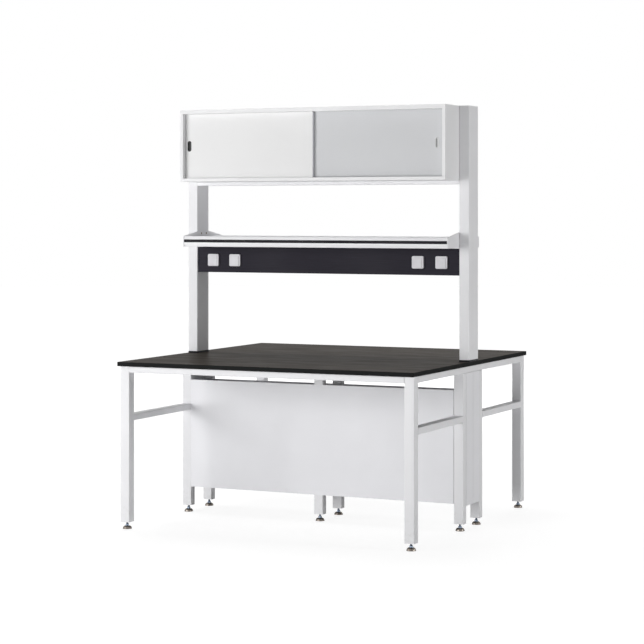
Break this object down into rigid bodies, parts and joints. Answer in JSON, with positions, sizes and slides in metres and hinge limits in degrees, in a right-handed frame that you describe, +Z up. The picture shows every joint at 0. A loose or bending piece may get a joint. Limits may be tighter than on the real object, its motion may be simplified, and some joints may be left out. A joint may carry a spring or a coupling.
{
  "type": "laboratory bench with reagent shelf",
  "caption": "Double-sided laboratory bench: dark worktop on a white tube frame with levelling feet, posts, reagent shelf, service panel with sockets and sliding-door cabinet.",
  "frame": {"origin": "on the floor, under the middle of the worktop", "axes": "+X along the bench, -Y towards the side with the sliding doors and sockets, +Z up"},
  "size_m": [1.5, 1.5, 1.9852],
  "materials": {
    "worktop": "satin black resin worktop",
    "frame_paint": "white powder coat",
    "panel_paint": "white powder coat on folded sheet",
    "foot_steel": "bright plated steel",
    "cabinet_board": "white laminated board",
    "door_grey": "light grey laminated board",
    "service_panel": "dark anodised",
    "socket_plastic": "off-white moulded plastic",
    "track": "satin extruded",
    "pull_black": "black moulded plastic",
    "pull_grey": "grey moulded plastic"
  },
  "bodies": {
    "bench": {"worktop": "worktop", "long_rail_front": "frame_paint", "mid_rail_front": "frame_paint", "end_rail_front_left": "frame_paint", "crossbar_front_left": "frame_paint", "end_rail_front_right": "frame_paint", "crossbar_front_right": "frame_paint", "modesty_panel_front": "panel_paint", "long_rail_back": "frame_paint", "mid_rail_back": "frame_paint", "end_rail_back_left": "frame_paint", "crossbar_back_left": "frame_paint", "end_rail_back_right": "frame_paint", "crossbar_back_right": "frame_paint", "modesty_panel_back": "panel_paint", "leg_mid_front_centre": "frame_paint", "leg_corner_front_left": "frame_paint", "leg_mid_front_left": "frame_paint", "leg_corner_front_right": "frame_paint", "leg_mid_front_right": "frame_paint", "leg_mid_back_centre": "frame_paint", "leg_corner_back_left": "frame_paint", "leg_mid_back_left": "frame_paint", "leg_corner_back_right": "frame_paint", "leg_mid_back_right": "frame_paint", "end_cover_left": "panel_paint", "post_left": "frame_paint", "shelf_bracket_left": "frame_paint", "end_cover_right": "panel_paint", "post_right": "frame_paint", "shelf_bracket_right": "frame_paint", "reagent_shelf": "frame_paint", "service_duct": "service_panel", "service_panel": "service_panel", "socket_1": "socket_plastic", "socket_2": "socket_plastic", "socket_3": "socket_plastic", "socket_4": "socket_plastic", "cabinet_case": "cabinet_board", "cabinet_beam": "frame_paint", "door_track_lower": "track", "door_track_upper": "track"},
    "foot_mid_front_centre": {"foot_mid_front_centre": "foot_steel"},
    "foot_corner_front_left": {"foot_corner_front_left": "foot_steel"},
    "foot_mid_front_left": {"foot_mid_front_left": "foot_steel"},
    "foot_corner_front_right": {"foot_corner_front_right": "foot_steel"},
    "foot_mid_front_right": {"foot_mid_front_right": "foot_steel"},
    "foot_mid_back_centre": {"foot_mid_back_centre": "foot_steel"},
    "foot_corner_back_left": {"foot_corner_back_left": "foot_steel"},
    "foot_mid_back_left": {"foot_mid_back_left": "foot_steel"},
    "foot_corner_back_right": {"foot_corner_back_right": "foot_steel"},
    "foot_mid_back_right": {"foot_mid_back_right": "foot_steel"},
    "socket_lid_1": {"socket_lid_1": "socket_plastic"},
    "socket_lid_2": {"socket_lid_2": "socket_plastic"},
    "socket_lid_3": {"socket_lid_3": "socket_plastic"},
    "socket_lid_4": {"socket_lid_4": "socket_plastic"},
    "door_left": {"door_left": "cabinet_board", "door_pull_left": "pull_black"},
    "door_right": {"door_right": "door_grey", "door_pull_right": "pull_grey"}
  },
  "joints": [
    {"name": "door_left_slide", "type": "slide", "parent": "bench", "child": "door_left", "axis": [1, 0, 0], "range_m": [0, 0.6723]},
    {"name": "door_right_slide", "type": "slide", "parent": "bench", "child": "door_right", "axis": [-1, 0, 0], "range_m": [0, 0.6723]},
    {"name": "socket_lid_1_hinge", "type": "hinge", "parent": "bench", "child": "socket_lid_1", "pos_m": [-0.608, -0.0614, 1.2675], "axis": [-1, 0, 0], "range_deg": [0, 110]},
    {"name": "socket_lid_2_hinge", "type": "hinge", "parent": "bench", "child": "socket_lid_2", "pos_m": [-0.488, -0.0614, 1.2675], "axis": [-1, 0, 0], "range_deg": [0, 110]},
    {"name": "socket_lid_3_hinge", "type": "hinge", "parent": "bench", "child": "socket_lid_3", "pos_m": [0.488, -0.0614, 1.2675], "axis": [-1, 0, 0], "range_deg": [0, 110]},
    {"name": "socket_lid_4_hinge", "type": "hinge", "parent": "bench", "child": "socket_lid_4", "pos_m": [0.608, -0.0614, 1.2675], "axis": [-1, 0, 0], "range_deg": [0, 110]},
    {"name": "foot_mid_front_centre_screw", "type": "slide", "parent": "bench", "child": "foot_mid_front_centre", "axis": [0, 0, 1], "range_m": [-0.02, 0.007]},
    {"name": "foot_corner_front_left_screw", "type": "slide", "parent": "bench", "child": "foot_corner_front_left", "axis": [0, 0, 1], "range_m": [-0.02, 0.007]},
    {"name": "foot_mid_front_left_screw", "type": "slide", "parent": "bench", "child": "foot_mid_front_left", "axis": [0, 0, 1], "range_m": [-0.02, 0.007]},
    {"name": "foot_corner_front_right_screw", "type": "slide", "parent": "bench", "child": "foot_corner_front_right", "axis": [0, 0, 1], "range_m": [-0.02, 0.007]},
    {"name": "foot_mid_front_right_screw", "type": "slide", "parent": "bench", "child": "foot_mid_front_right", "axis": [0, 0, 1], "range_m": [-0.02, 0.007]},
    {"name": "foot_mid_back_centre_screw", "type": "slide", "parent": "bench", "child": "foot_mid_back_centre", "axis": [0, 0, 1], "range_m": [-0.02, 0.007]},
    {"name": "foot_corner_back_left_screw", "type": "slide", "parent": "bench", "child": "foot_corner_back_left", "axis": [0, 0, 1], "range_m": [-0.02, 0.007]},
    {"name": "foot_mid_back_left_screw", "type": "slide", "parent": "bench", "child": "foot_mid_back_left", "axis": [0, 0, 1], "range_m": [-0.02, 0.007]},
    {"name": "foot_corner_back_right_screw", "type": "slide", "parent": "bench", "child": "foot_corner_back_right", "axis": [0, 0, 1], "range_m": [-0.02, 0.007]},
    {"name": "foot_mid_back_right_screw", "type": "slide", "parent": "bench", "child": "foot_mid_back_right", "axis": [0, 0, 1], "range_m": [-0.02, 0.007]}
  ]
}
